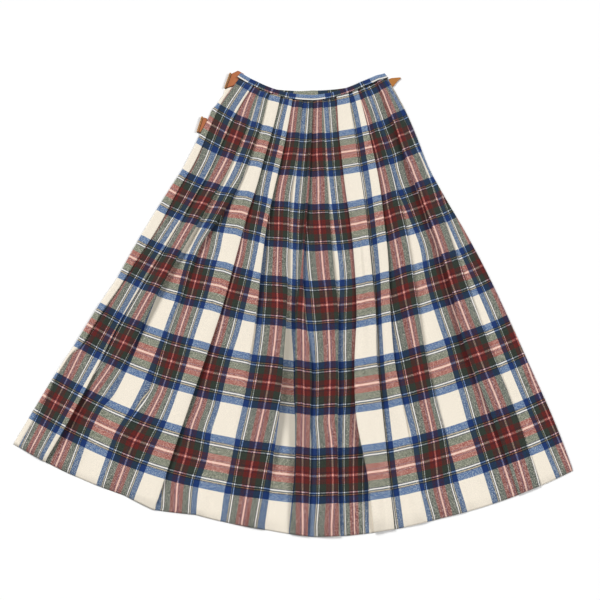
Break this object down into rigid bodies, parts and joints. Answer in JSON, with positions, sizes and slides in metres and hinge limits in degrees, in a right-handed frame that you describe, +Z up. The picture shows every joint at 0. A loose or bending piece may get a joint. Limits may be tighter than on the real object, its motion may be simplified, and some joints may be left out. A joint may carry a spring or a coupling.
{
  "type": "long pleated checked skirt laid flat",
  "caption": "Long pleated wool skirt with a tartan check, laid flat, with a narrow waistband, leather buckle tabs and a strap end.",
  "frame": {"origin": "on the surface, under the middle of the bounding box", "axes": "+Z up from the surface, +Y toward the waist, +X to the right as seen in the picture"},
  "size_m": [1.0132, 0.9368, 0.0097],
  "materials": {
    "check_wool": "napped twill wool, cream, blue, green and red check",
    "tan_leather": "smooth tan leather",
    "ochre_leather": "smooth ochre leather",
    "buckle_bronze": "dark antique bronze"
  },
  "bodies": {
    "root": {"skirt_back": "check_wool", "skirt_front": "check_wool", "waistband_back": "check_wool", "waistband_front": "check_wool", "waist_tab": "tan_leather", "waist_buckle": "buckle_bronze", "hip_tab": "tan_leather", "hip_buckle": "buckle_bronze", "strap_end": "ochre_leather"}
  },
  "joints": []
}
